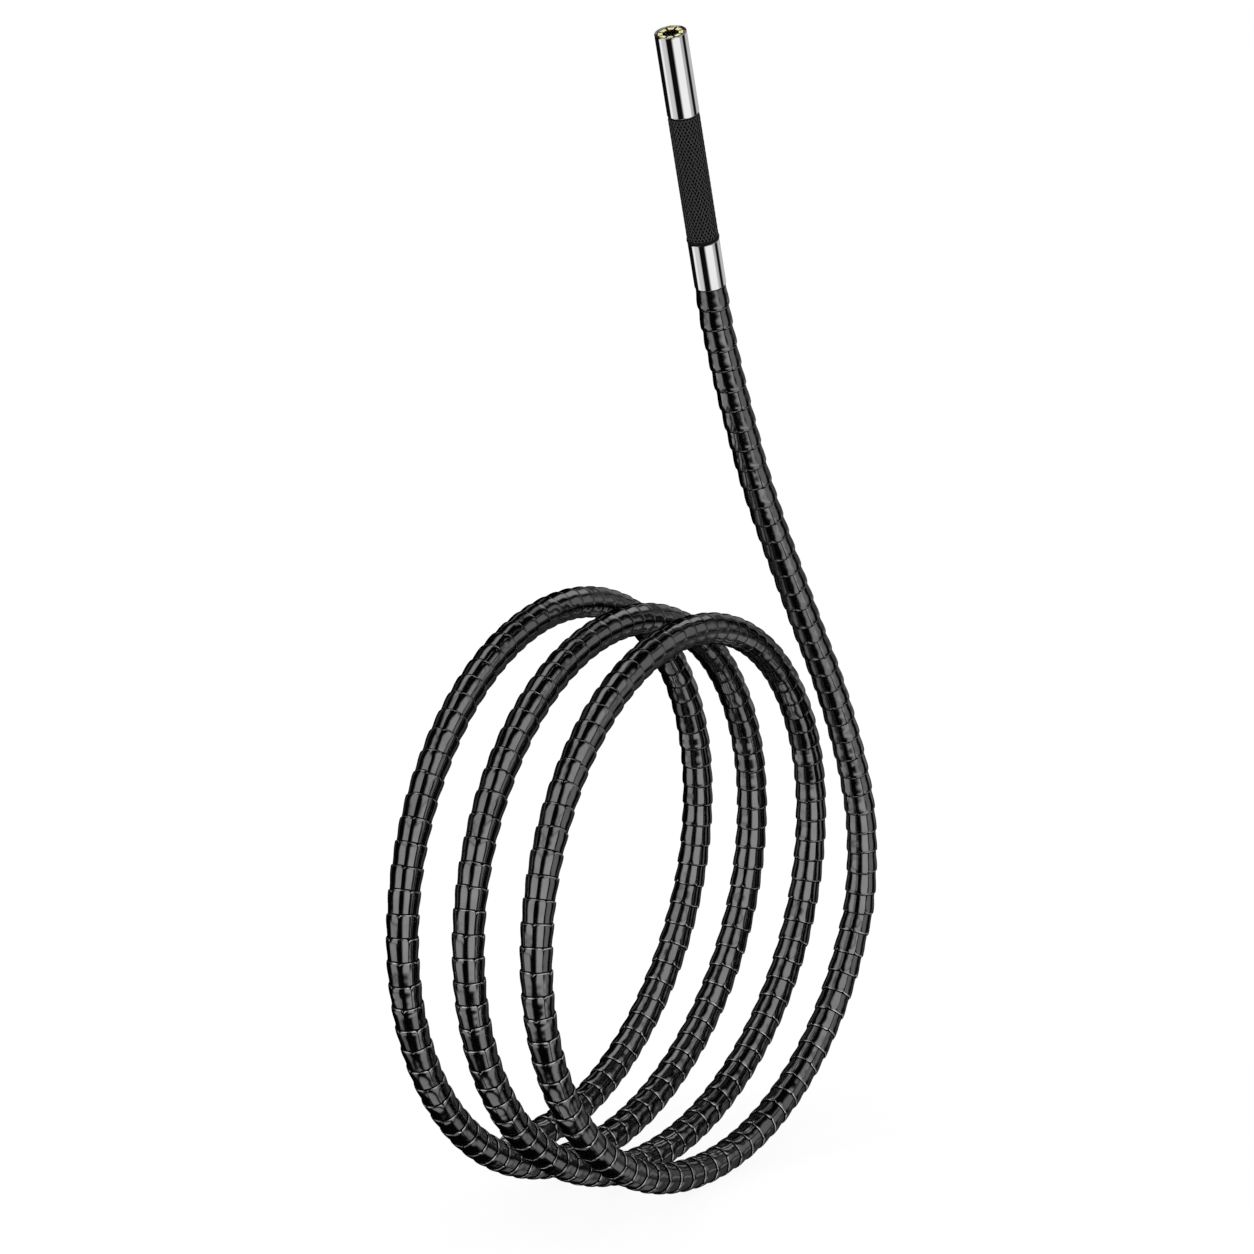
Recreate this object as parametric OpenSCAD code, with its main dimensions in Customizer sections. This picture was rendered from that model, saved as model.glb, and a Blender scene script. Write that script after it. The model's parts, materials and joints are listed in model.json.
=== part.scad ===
// Inspection camera probe: a camera head with eight lamps, an articulated bending
// section under a braided sleeve, and a self-supporting gooseneck wound in upright turns.
// +Z is up, +X runs along the axis of the turns, and the probe stands on z = 0.

/* [Camera head] */
// Outer diameter of the camera head and of the rear ferrule
head_od = 7.8; // [7.4:0.1:9]
// Wall of the chrome barrel
barrel_wall = 0.4; // [0.3:0.05:0.5]
// Length of the chrome barrel
barrel_length = 21.2; // [20:0.2:26]
// Length of the braided bending section
sleeve_length = 33.8; // [32:0.2:40]
// Length of the chrome rear ferrule
ferrule_length = 12.2; // [10:0.2:18]

/* [Lamps and window] */
// Number of lamp chips round the lens
lamp_count = 8; // [6:1:9]
// Length of one lamp chip along the radius
lamp_length = 1.15; // [0.7:0.05:1.2]
// Share of the way round the lens that the lamp chips fill
lamp_cover = 0.76; // [0.5:0.02:0.86]
// Height of one lamp chip
lamp_height = 0.35; // [0.2:0.05:0.5]
// Thickness of the lamp board
lamp_board_thickness = 0.5; // [0.3:0.1:0.8]
// Thickness of the front window
window_thickness = 0.3; // [0.2:0.05:0.6]
// Width of the gold bezel ring seen from the front
bezel_width = 0.22; // [0.15:0.01:0.3]

/* [Lens and sensor] */
// Outer diameter of the lens barrel
lens_barrel_od = 3.2; // [3:0.05:3.3]
// Wall of the lens barrel
lens_barrel_wall = 0.3; // [0.2:0.05:0.35]
// Length of the lens barrel
lens_barrel_length = 5.6; // [5.4:0.1:6.5]
// Thickness of each lens in its middle
lens_thickness = 1.1; // [0.9:0.05:1.3]
// Rise of the curved face of each lens
lens_rise = 0.3; // [0.15:0.05:0.35]
// Diameter of the hole in the aperture stop
aperture_d = 0.6; // [0.3:0.05:1.2]
// Thickness of the infrared filter
filter_thickness = 0.3; // [0.2:0.05:0.5]
// Side of the square image sensor
sensor_side = 2.3; // [2:0.1:2.6]
// Thickness of the image sensor
sensor_thickness = 0.6; // [0.4:0.05:0.9]
// Thickness of the circuit boards
board_thickness = 0.6; // [0.4:0.05:0.8]
// Length of the driver board
driver_board_length = 6; // [4:0.2:7]
// Thickness of the bulkhead that closes the barrel
bulkhead_thickness = 1.2; // [0.8:0.1:1.6]

/* [Bending section] */
// Number of hinges in the bending section
hinge_count = 7; // [7:1:7]
// Largest angle of one hinge to each side
hinge_limit = 15; // [5:1:15]
// Outer diameter of the links
link_od = 6.5; // [6.2:0.1:6.6]
// Wall of the links
link_wall = 0.7; // [0.6:0.05:0.8]
// Radius of the ears round each hinge pin
ear_radius = 0.9; // [0.8:0.05:1]
// Diameter of the hinge pins
pin_d = 0.8; // [0.6:0.05:0.9]
// Diameter of the two pull wires
wire_d = 0.4; // [0.3:0.05:0.5]
// Diameter of the camera harness
harness_d = 2.4; // [2:0.1:2.4]
// Wall of the braided sleeve
braid_wall = 0.3; // [0.2:0.05:0.35]
// Wall of the rubber boot under the braid
boot_wall = 0.2; // [0.15:0.05:0.25]
// Width of the bead that binds the rear end of the sleeve
bead_width = 1.0; // [0.8:0.1:1.6]
// Height of that bead above the sleeve
bead_rise = 0.15; // [0.1:0.05:0.3]
// Width of the open groove between the sleeve and the barrel
groove_width = 0.6; // [0.55:0.05:0.9]

/* [Gooseneck] */
// Outer diameter of the gooseneck
gooseneck_od = 8.0; // [7.8:0.1:8.4]
// Bore of the gooseneck
gooseneck_bore = 5.8; // [5.6:0.1:6]
// Outer diameter of the cable core inside the gooseneck
core_od = 4.6; // [4:0.1:4.7]
// Pitch of the overlapping rings of the gooseneck
ring_pitch = 5.6; // [4.8:0.1:7]
// Step at the rim of each ring
ring_step = 0.4; // [0.2:0.05:0.6]
// Half of the width of one turn, to the middle of the gooseneck
turn_half_width = 76.1; // [72:0.1:80]
// Half of the height of one turn, to the middle of the gooseneck
turn_half_height = 69.3; // [66:0.1:72]
// Distance from one turn to the next along the axis of the turns
turn_pitch = 16.3; // [15:0.1:20]
// Sideways step from one turn to the next
turn_lean = 2.95; // [2:0.05:4]
// Share by which the outer turns open or close
turn_spread = 0.0138; // [0.01:0.0002:0.016]
// Rise of the free end of the turns
end_lift = 1.4; // [1.4:0.1:4]
// Depth of the flat that each turn stands on
floor_flat = 0.8; // [0.5:0.1:0.9]

/* [Connector] */
// Length of the backshell behind the coupling nut
backshell_length = 5; // [4:0.2:8]
// Length of the coupling nut
nut_length = 9; // [8:0.2:12]
// Outer diameter of the coupling nut
nut_od = 7.8; // [7.6:0.1:8]
// Outer diameter of the thread of the coupling nut
thread_od = 7; // [6.8:0.1:7.2]
// Length of the thread of the coupling nut
thread_length = 4; // [3:0.2:5]
// Outer diameter of the plug shell inside the nut
plug_od = 5; // [4.8:0.1:5.2]
// Wall of the plug shell
plug_wall = 0.4; // [0.3:0.05:0.5]
// Diameter of one contact pin
contact_d = 0.7; // [0.5:0.05:0.8]
// Number of contact pins
contact_count = 4; // [3:1:5]

/* [Hidden] */
$fn = 48;

// Clearances
running_gap = 0.04;
seat_gap = 0.02;
body_gap = 0.15;

// The axis of the head: its base at the gooseneck, and its two angles
head_base = [20, 7, 228];
head_lean = 19.3;
head_turn = 4.2;

// Middle of the turns in plan
turn_mid = [-0.6, 1];
// Angles of the turns at their first ring, their middle and their last ring, from +Y towards +Z
turn_start = -22.5;
turn_middle = -585;
turn_end = -1162.5;
rings_per_turn = 24;
turn_step = 360 / rings_per_turn;
coil_count = round((turn_start - turn_end) / turn_step);
coil_sides = 6;
riser_sides = 8;
// The free end rises over this last angle of the turns
lift_angle = 25;
// Middle height of the gooseneck where a turn stands on the floor
foot_height = gooseneck_od / 2 - floor_flat;
end_straight = gooseneck_od;

// Middle line of the riser, from the head down to the turns
RISER_ROUTE = [
    [20, 12.4, 212.5],
    [20.4, 16.5, 201.5],
    [20.9, 21, 190.5],
    [21.4, 26, 179],
    [22, 31.5, 168],
    [22.5, 38.4, 156],
    [23.1, 45.4, 144],
    [23.6, 52.6, 132],
    [24.2, 59.8, 120],
    [24.7, 66.1, 108],
    [25.2, 71.3, 96],
    [25.5, 74.4, 87],
    [25.7, 76.3, 79],
    [25.8, 77, 70],
    [25.7, 76.9, 61],
];
route_steps = 6;
// The direction of the riser is taken between two points this far to either side
chord_reach = 3;

// Stations along the head axis, from the gooseneck to the face
sleeve_start = ferrule_length;
barrel_start = sleeve_start + sleeve_length;
face = barrel_start + barrel_length;
ear_gap = 0.3;
link_ring_gap = ear_gap + max(ear_radius, link_od / 2 * tan(hinge_limit / 2));
ear_root = 0.2;
hinge_setback = 2.9;
hinge_margin = ear_radius + hinge_setback;
hinge_pitch = (sleeve_length - 2 * hinge_margin) / (hinge_count - 1);
function hinge_at(k) = sleeve_start + hinge_margin + (k - 1) * hinge_pitch;

// Radii about the head axis
head_r = head_od / 2;
bore_r = head_r - barrel_wall;
boot_r = head_r - braid_wall;
link_r = link_od / 2;
link_bore_r = link_r - link_wall;
ear_split_r = (link_r + link_bore_r) / 2;
spigot_r = gooseneck_bore / 2 * cos(180 / riser_sides) - seat_gap;
spigot_wall = 0.6;
spigot_depth = 6;
spigot_bore_r = spigot_r - spigot_wall;
harness_r = harness_d / 2;
wire_at = spigot_bore_r - wire_d / 2 - running_gap;
guide_r = wire_d / 2 + running_gap;
guide_wall = 0.15;
guide_length = 1.2;

// Stations inside the barrel, from the face backwards
window_recess = 0.05;
window_top = face - window_recess;
window_back = window_top - window_thickness;
lamp_gap = 0.05;
lamp_top = window_back - lamp_gap;
lamp_board_top = lamp_top - lamp_height;
lamp_board_back = lamp_board_top - lamp_board_thickness;
window_r = bore_r - bezel_width;
lens_barrel_r = lens_barrel_od / 2;
lens_r = lens_barrel_r - lens_barrel_wall;
lens_barrel_back = window_back - lens_barrel_length;
holder_wall = 0.5;
holder_floor = 0.4;
holder_back = lens_barrel_back - holder_floor - filter_thickness;
sensor_back = holder_back - sensor_thickness;
sensor_board_back = sensor_back - board_thickness;
driver_board_back = sensor_board_back - driver_board_length;
driver_board_width = 2 * bore_r - 0.8;
lamp_board_bore_r = lens_barrel_r + holder_wall / 2;
lamp_half_angle = 180 / lamp_count * lamp_cover;
lamp_rim_gap = 0.06;
lamp_outer = (window_r - lamp_rim_gap) * cos(lamp_half_angle);
lamp_inner = max(lamp_outer - lamp_length, lamp_board_bore_r);

// Stations of the lens stack inside the lens barrel
retainer_length = 0.6;
stop_thickness = 0.15;
lip_length = 0.4;
rim_thickness = lens_thickness - lens_rise;
dome_share = 0.72;
light_r = 0.76 * lens_r;
lens_rear_back = lens_barrel_back + lip_length;
spacer_back = lens_rear_back + rim_thickness;
lens_front_rim = window_back - retainer_length;
lens_front_back = lens_front_rim - rim_thickness;
stop_back = lens_front_back - stop_thickness;

// Connector stations from the end of the gooseneck
connector_length = backshell_length + nut_length;
connector_spigot = 4;
barb_r = gooseneck_bore / 2 * cos(180 / coil_sides) - seat_gap;
plug_r = plug_od / 2;
plug_bore_r = plug_r - plug_wall;
plug_recess = 1;
plug_length = nut_length - plug_recess;
nut_r = nut_od / 2;
nut_back = backshell_length + body_gap;
nut_lip = 2;
collar_length = 1.2;
collar_r = plug_r + 0.3;
collar_back = nut_lip + 2 * body_gap;
insert_back = backshell_length + 2;
insert_length = 3;
contact_length = 5.5;
contact_pitch_r = 1.15;
seal_wall = 0.45;
seal_length = 0.6;
flute_count = 18;
flute_r = 0.35;

// ---- Directions and places ----

function unit(v) = v / norm(v);
head_axis = [
    sin(head_lean) * sin(head_turn),
    -sin(head_lean) * cos(head_turn),
    cos(head_lean),
];

// Middle line of the turns at the angle a
function turn_share(a) = (a - turn_middle) / 360;
function turn_size(a) = 1 - turn_spread * pow(turn_share(a), 3);
function lift(a) = end_lift * pow(max(0, (turn_end + lift_angle - a) / lift_angle), 2);
function turn_point(a) = [
    turn_mid.x + turn_pitch * turn_share(a),
    turn_mid.y + turn_lean * turn_share(a) + turn_half_width * turn_size(a) * cos(a),
    foot_height + turn_half_height * turn_size(a) * (1 + sin(a)) + lift(a),
];
// Direction of the middle line away from the head
function turn_direction(a) = unit(turn_point(a - 0.5) - turn_point(a + 0.5));

coil_top = turn_point(turn_start) - end_straight * turn_direction(turn_start);
coil_bottom = turn_point(turn_end) + end_straight * turn_direction(turn_end);
coil_top_direction = turn_direction(turn_start);
coil_bottom_direction = turn_direction(turn_end);

coil_middle = [
    coil_top,
    for (i = [0:coil_count]) turn_point(turn_start - i * turn_step),
    coil_bottom,
];
coil_directions = [
    coil_top_direction,
    for (i = [0:coil_count]) turn_direction(turn_start - i * turn_step),
    coil_bottom_direction,
];

// The riser runs straight out of the head, then smoothly through its route to the turns
riser_knots = [
    head_base,
    head_base - end_straight * head_axis,
    each RISER_ROUTE,
    coil_top,
];
knot_last = len(riser_knots) - 1;
function knot_slope(i) =
    i == 1 ? -head_axis * norm(riser_knots[2] - riser_knots[1]) :
    i == knot_last ? coil_top_direction * norm(riser_knots[i] - riser_knots[i - 1]) :
    (riser_knots[i + 1] - riser_knots[i - 1]) / 2;
function smooth(p, q, u, v, t) =
    (2 * t * t * t - 3 * t * t + 1) * p + (t * t * t - 2 * t * t + t) * u
    + (3 * t * t - 2 * t * t * t) * q + (t * t * t - t * t) * v;
riser_line = [
    head_base,
    for (i = [1:knot_last - 1]) for (j = [0:route_steps - 1])
        smooth(riser_knots[i], riser_knots[i + 1], knot_slope(i), knot_slope(i + 1), j / route_steps),
    coil_top,
];
function distances(line, i = 0, d = 0) =
    i == len(line) - 1 ? [d] :
    concat([d], distances(line, i + 1, d + norm(line[i + 1] - line[i])));
riser_distances = distances(riser_line);
riser_length = riser_distances[len(riser_line) - 1];
riser_tables = [
    for (n = [0:2]) [for (i = [0:len(riser_line) - 1]) [riser_distances[i], riser_line[i][n]]]
];
function riser_point(d) = [for (n = [0:2]) lookup(d, riser_tables[n])];
function riser_direction(d) =
    d < 1 ? -head_axis :
    d > riser_length - 1 ? coil_top_direction :
    unit(riser_point(min(riser_length, d + chord_reach)) - riser_point(max(0, d - chord_reach)));

// Rings of the riser: each ring has a rim and a waist
ring_count = floor(riser_length / ring_pitch);
rim_share = 0.12;
riser_stations = [
    0,
    for (i = [0:ring_count - 1]) for (s = [rim_share, 1]) (i + s) * riser_length / ring_count,
];
riser_radii = [
    gooseneck_od / 2 - ring_step,
    for (i = [0:ring_count - 1]) for (s = [0, ring_step]) gooseneck_od / 2 - s,
];

coil_lengths = distances(coil_middle);
coil_length = coil_lengths[len(coil_middle) - 1];
// Least distance between two points of the turns that are over half a turn apart
turn_gap = min([
    for (i = [0:len(coil_middle) - 1]) for (j = [i + 1:len(coil_middle) - 1])
        if (j - i > rings_per_turn / 2) norm(coil_middle[i] - coil_middle[j])
]) - gooseneck_od;

echo(riser_length = riser_length, coil_length = coil_length, turn_gap = turn_gap);
echo(head_axis = head_axis, coil_bottom = coil_bottom, coil_bottom_direction = coil_bottom_direction);
echo(hinges = [for (k = [1:hinge_count]) head_base + hinge_at(k) * head_axis]);
echo(coil_top = coil_top, coil_top_direction = coil_top_direction);

// ---- Shapes that repeat ----

module on_head(z = 0) {
    translate(head_base) rotate([0, 0, head_turn]) rotate([head_lean, 0, 0]) translate([0, 0, z])
        children();
}

module on_connector(z = 0) {
    d = coil_bottom_direction;
    translate(coil_bottom) rotate([0, acos(d.z), atan2(d.y, d.x)]) translate([0, 0, z]) children();
}

// A tube along +Z from z = 0
module pipe(outer, inner, length) {
    difference() {
        cylinder(r = outer, h = length);
        translate([0, 0, -1]) cylinder(r = inner, h = length + 2);
    }
}

// A tube swept along points with a radius at each; a bore of 0 leaves it solid
module swept_tube(line, directions, radii, bore, sides) {
    last = len(line) - 1;
    inner_first = sides * (last + 1);
    function ring(i, r) =
        let (t = directions[i], n1 = unit([1, 0, 0] - t.x * t), n2 = cross(t, n1))
        [for (j = [0:sides - 1]) let (a = 90 + 360 * j / sides) line[i] + r * (cos(a) * n1 + sin(a) * n2)];
    outer_points = [for (i = [0:last]) each ring(i, radii[i])];
    inner_points = bore == 0 ? [] : [for (i = [0:last]) each ring(i, bore)];
    function at(i, j) = i * sides + j % sides;
    skin = [
        for (i = [0:last - 1]) for (j = [0:sides - 1])
            each [
                [at(i, j), at(i + 1, j), at(i + 1, j + 1)],
                [at(i, j), at(i + 1, j + 1), at(i, j + 1)],
            ]
    ];
    bore_skin = [for (f = skin) [f[0] + inner_first, f[2] + inner_first, f[1] + inner_first]];
    solid_ends = [
        for (j = [1:sides - 2])
            each [[at(0, 0), at(0, j), at(0, j + 1)], [at(last, 0), at(last, j + 1), at(last, j)]]
    ];
    open_ends = [
        for (j = [0:sides - 1])
            let (a = at(0, j), b = at(0, j + 1), c = at(last, j), d = at(last, j + 1), k = inner_first)
            each [[a, b, b + k], [a, b + k, a + k], [c, d + k, d], [c, c + k, d + k]]
    ];
    polyhedron(
        points = concat(outer_points, inner_points),
        faces = bore == 0 ? concat(skin, solid_ends) : concat(skin, bore_skin, open_ends),
        convexity = 20
    );
}

// A lens from z = 0 upwards: a flat rim, and a domed middle in front of it
module lens() {
    dome_base = dome_share * lens_r;
    dome_r = (dome_base * dome_base + lens_rise * lens_rise) / (2 * lens_rise);
    cylinder(r = lens_r - seat_gap, h = rim_thickness);
    intersection() {
        cylinder(r = dome_base, h = lens_thickness);
        translate([0, 0, lens_thickness - dome_r]) sphere(r = dome_r, $fn = 96);
    }
}

// ---- Camera head ----

module head_barrel() {
    color("silver") on_head(barrel_start) pipe(head_r, bore_r, barrel_length);
}

module bezel_ring() {
    color("goldenrod") on_head(window_back) pipe(bore_r - seat_gap, window_r, window_top - window_back);
}

module front_window() {
    color("lightcyan", 0.4) on_head(window_back) cylinder(r = window_r - seat_gap, h = window_thickness);
}

module window_seal() {
    color("dimgray") on_head(lamp_board_top) pipe(bore_r - seat_gap, window_r, lamp_height + lamp_gap);
}

module lamp_board() {
    color("black") on_head(lamp_board_back)
        pipe(bore_r - seat_gap, lamp_board_bore_r, lamp_board_thickness);
}

// One chip widens away from the lens, as the room round the lens does
module lamp_outline() {
    spread = tan(lamp_half_angle);
    polygon([
        [lamp_inner, -lamp_inner * spread],
        [lamp_outer, -lamp_outer * spread],
        [lamp_outer, lamp_outer * spread],
        [lamp_inner, lamp_inner * spread],
    ]);
}

module lamp_chips() {
    color("khaki") on_head(lamp_board_top)
        for (i = [0:lamp_count - 1]) rotate([0, 0, (i + 0.5) * 360 / lamp_count])
            linear_extrude(lamp_height) lamp_outline();
}

module lens_barrel() {
    color("dimgray") on_head(lens_barrel_back) difference() {
        cylinder(r = lens_barrel_r, h = lens_barrel_length);
        translate([0, 0, lip_length]) cylinder(r = lens_r, h = lens_barrel_length);
        translate([0, 0, -1]) cylinder(r = light_r, h = lens_barrel_length);
    }
}

module lens_front() {
    color("lightblue", 0.5) on_head(lens_front_back) lens();
}

module aperture_stop() {
    color("black") on_head(stop_back) pipe(lens_r - seat_gap, aperture_d / 2, stop_thickness);
}

module lens_spacer() {
    color("dimgray") on_head(spacer_back) pipe(lens_r - seat_gap, light_r, stop_back - spacer_back);
}

module lens_rear() {
    color("lightblue", 0.5) on_head(lens_rear_back) lens();
}

module lens_retainer() {
    color("black") on_head(lens_front_rim) pipe(lens_r - seat_gap, light_r, retainer_length);
}

module infrared_filter() {
    color("lightblue", 0.6) on_head(holder_back) cylinder(r = lens_barrel_r - seat_gap, h = filter_thickness);
}

module sensor_holder() {
    color("dimgray") on_head(holder_back) difference() {
        cylinder(r = bore_r - seat_gap, h = lamp_board_back - holder_back);
        translate([0, 0, filter_thickness + holder_floor])
            cylinder(r = lens_barrel_r + seat_gap, h = lens_barrel_length);
        translate([0, 0, -1]) cylinder(r = light_r, h = lens_barrel_length);
        translate([0, 0, -1]) cylinder(r = lens_barrel_r, h = 1 + filter_thickness);
    }
}

module image_sensor() {
    color("darkslategray") on_head(sensor_back)
        translate([-sensor_side / 2, -sensor_side / 2, 0])
            cube([sensor_side, sensor_side, sensor_thickness]);
}

module sensor_board() {
    color("darkgreen") on_head(sensor_board_back) cylinder(r = bore_r - seat_gap, h = board_thickness);
}

module driver_board() {
    color("darkgreen") on_head(driver_board_back)
        translate([-board_thickness / 2, -driver_board_width / 2, 0])
            cube([board_thickness, driver_board_width, driver_board_length]);
}

module barrel_bulkhead() {
    color("gray") on_head(barrel_start) difference() {
        cylinder(r = bore_r - seat_gap, h = bulkhead_thickness);
        translate([0, 0, -1]) cylinder(r = harness_r + seat_gap, h = bulkhead_thickness + 2);
    }
}

// ---- Bending section ----

// Two ears at the hinge at z = 0, reaching from it to the ring at z = reach
module ears(inner, outer, reach, hole_r) {
    bottom = min(0, reach) - (reach > 0 ? ear_radius : 0);
    top = max(0, reach) + (reach > 0 ? 0 : ear_radius);
    difference() {
        intersection() {
            translate([0, 0, bottom]) pipe(outer, inner, top - bottom);
            union() {
                rotate([90, 0, 0]) cylinder(r = ear_radius, h = 2 * link_od, center = true);
                translate([-ear_radius, -link_od, min(0, reach)])
                    cube([2 * ear_radius, 2 * link_od, abs(reach)]);
            }
        }
        rotate([90, 0, 0]) cylinder(r = hole_r, h = 2 * link_od, center = true);
    }
}

// The two eyelets inside a link for the pull wires, from z = 0 upwards
module wire_guides(hole_r) {
    for (side = [0, 180]) rotate([0, 0, side]) difference() {
        intersection() {
            cylinder(r = ear_split_r, h = guide_length);
            union() {
                translate([wire_at, 0, 0]) cylinder(r = guide_r + guide_wall, h = guide_length);
                translate([wire_at, -guide_r - guide_wall, 0])
                    cube([link_r, 2 * (guide_r + guide_wall), guide_length]);
            }
        }
        translate([wire_at, 0, -1]) cylinder(r = hole_r, h = guide_length + 2);
    }
}

// One link: inner ears at its rear hinge, a ring, and outer ears at its front hinge
module bending_link(k) {
    ring_length = hinge_pitch - 2 * link_ring_gap;
    color("lightsteelblue") on_head(hinge_at(k)) union() {
        ears(link_bore_r, ear_split_r - running_gap / 2, link_ring_gap + ear_root, pin_d / 2);
        translate([0, 0, link_ring_gap]) pipe(link_r, link_bore_r, ring_length);
        translate([0, 0, link_ring_gap]) wire_guides(guide_r);
        translate([0, 0, hinge_pitch])
            ears(ear_split_r + running_gap / 2, link_r, -link_ring_gap - ear_root, pin_d / 2 + running_gap);
    }
}

module front_link() {
    collar_start = hinge_at(hinge_count) + link_ring_gap;
    color("lightsteelblue") on_head(0) union() {
        translate([0, 0, hinge_at(hinge_count)])
            ears(link_bore_r, ear_split_r - running_gap / 2, link_ring_gap + ear_root, pin_d / 2);
        translate([0, 0, collar_start]) pipe(link_r, link_bore_r, barrel_start - collar_start);
        translate([0, 0, collar_start]) wire_guides(wire_d / 2);
    }
}

module rear_link() {
    collar_end = hinge_at(1) - link_ring_gap;
    collar_start = ferrule_length / 2;
    color("lightsteelblue") on_head(0) union() {
        translate([0, 0, hinge_at(1)])
            ears(ear_split_r + running_gap / 2, link_r, -link_ring_gap - ear_root, pin_d / 2 + running_gap);
        translate([0, 0, collar_start]) pipe(link_r, link_bore_r, collar_end - collar_start);
        translate([0, 0, collar_end - guide_length]) wire_guides(guide_r);
    }
}

// The two pins of one hinge, fixed in the inner ears
module hinge_pins(k) {
    color("gainsboro") on_head(hinge_at(k))
        for (side = [-1, 1]) rotate([side * 90, 0, 0])
            translate([0, 0, link_bore_r]) cylinder(r = pin_d / 2, h = link_wall);
}

module pull_wire(side) {
    wire_length = spigot_depth + hinge_at(hinge_count) + link_ring_gap + guide_length;
    color("silver") on_head(-spigot_depth)
        translate([side * wire_at, 0, 0]) cylinder(r = wire_d / 2, h = wire_length);
}

module pull_wire_left() {
    pull_wire(-1);
}

module pull_wire_right() {
    pull_wire(1);
}

module camera_harness() {
    color("darkred") on_head(-spigot_depth) cylinder(r = harness_r, h = driver_board_back + spigot_depth);
}

module rubber_boot() {
    color("black") on_head(sleeve_start) pipe(boot_r, boot_r - boot_wall, sleeve_length);
}

module braided_sleeve() {
    color("dimgray") on_head(sleeve_start + bead_width)
        pipe(head_r, boot_r, sleeve_length - bead_width - groove_width);
}

module sleeve_bead() {
    color("black") on_head(sleeve_start) rotate_extrude() difference() {
        translate([boot_r, 0]) union() {
            square([head_r - boot_r, bead_width]);
            translate([head_r + bead_rise - bead_width / 2 - boot_r, bead_width / 2])
                circle(r = bead_width / 2, $fn = 32);
        }
        translate([boot_r - bead_width, 0]) square([bead_width, bead_width]);
    }
}

// ---- Ferrule and gooseneck ----

module rear_ferrule() {
    color("silver") on_head(0) union() {
        pipe(head_r, spigot_r, ferrule_length / 2);
        translate([0, 0, ferrule_length / 2]) pipe(head_r, link_r, ferrule_length / 2);
    }
}

module ferrule_spigot() {
    color("gray") on_head(-spigot_depth) pipe(spigot_r, spigot_bore_r, spigot_depth + ferrule_length / 2);
}

module gooseneck_riser() {
    color("#2b2b2d") swept_tube(
        [for (d = riser_stations) riser_point(d)],
        [for (d = riser_stations) riser_direction(d)],
        riser_radii, gooseneck_bore / 2, riser_sides
    );
}

module gooseneck_coil() {
    floor_side = 4 * turn_half_width;
    color("#2b2b2d") difference() {
        swept_tube(
            coil_middle, coil_directions, [for (p = coil_middle) gooseneck_od / 2],
            gooseneck_bore / 2, coil_sides
        );
        translate([-floor_side / 2, -floor_side / 2, -floor_side]) cube(floor_side);
    }
}

module core_riser() {
    count = ceil(riser_length / (2 * gooseneck_od));
    core_stations = [
        for (i = [0:count]) spigot_depth + i * (riser_length - spigot_depth) / count
    ];
    color("darkslategray") swept_tube(
        [for (d = core_stations) riser_point(d)],
        [for (d = core_stations) riser_direction(d)],
        [for (d = core_stations) core_od / 2], 0, riser_sides
    );
}

module core_coil() {
    last = len(coil_middle) - 1;
    core_end = coil_bottom - connector_spigot * coil_bottom_direction;
    color("darkslategray") swept_tube(
        [for (i = [0:last]) i == last ? core_end : coil_middle[i]],
        coil_directions, [for (p = coil_middle) core_od / 2], 0, coil_sides
    );
}

// ---- Connector ----

module connector_backshell() {
    color("dimgray") on_connector(-connector_spigot) difference() {
        union() {
            cylinder(r = barb_r, h = connector_spigot + 1);
            translate([0, 0, connector_spigot]) cylinder(r = gooseneck_od / 2, h = backshell_length);
        }
        translate([0, 0, -1]) cylinder(r = barb_r - spigot_wall, h = connector_length);
    }
}

module plug_shell() {
    color("silver") on_connector(backshell_length) difference() {
        union() {
            cylinder(r = plug_r, h = plug_length);
            translate([0, 0, collar_back]) cylinder(r = collar_r, h = collar_length);
        }
        translate([0, 0, -1]) cylinder(r = plug_bore_r, h = plug_length + 2);
    }
}

module coupling_nut() {
    grip_length = nut_length - thread_length;
    color("gray") on_connector(nut_back) difference() {
        union() {
            cylinder(r = nut_r, h = grip_length);
            cylinder(r = thread_od / 2, h = nut_length);
        }
        translate([0, 0, -1]) cylinder(r = plug_r + running_gap, h = nut_length + 2);
        translate([0, 0, nut_lip]) cylinder(r = collar_r + body_gap, h = nut_length);
        for (i = [0:flute_count - 1]) rotate([0, 0, i * 360 / flute_count])
            translate([nut_r + flute_r / 2, 0, -1]) cylinder(r = flute_r, h = grip_length, $fn = 16);
    }
}

// The places of the contacts round the axis of the plug
module contact_places() {
    for (i = [0:contact_count - 1]) rotate([0, 0, i * 360 / contact_count])
        translate([contact_pitch_r, 0, 0]) children();
}

module plug_insert() {
    color("black") on_connector(insert_back) difference() {
        cylinder(r = plug_bore_r - seat_gap, h = insert_length);
        contact_places() translate([0, 0, -1]) cylinder(r = contact_d / 2 + seat_gap, h = insert_length + 2);
    }
}

module contact_pins() {
    color("goldenrod") on_connector(insert_back)
        contact_places() cylinder(r = contact_d / 2, h = contact_length);
}

module plug_seal() {
    color("firebrick") on_connector(insert_back + insert_length)
        pipe(plug_bore_r - seat_gap, plug_bore_r - seal_wall, seal_length);
}

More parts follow.
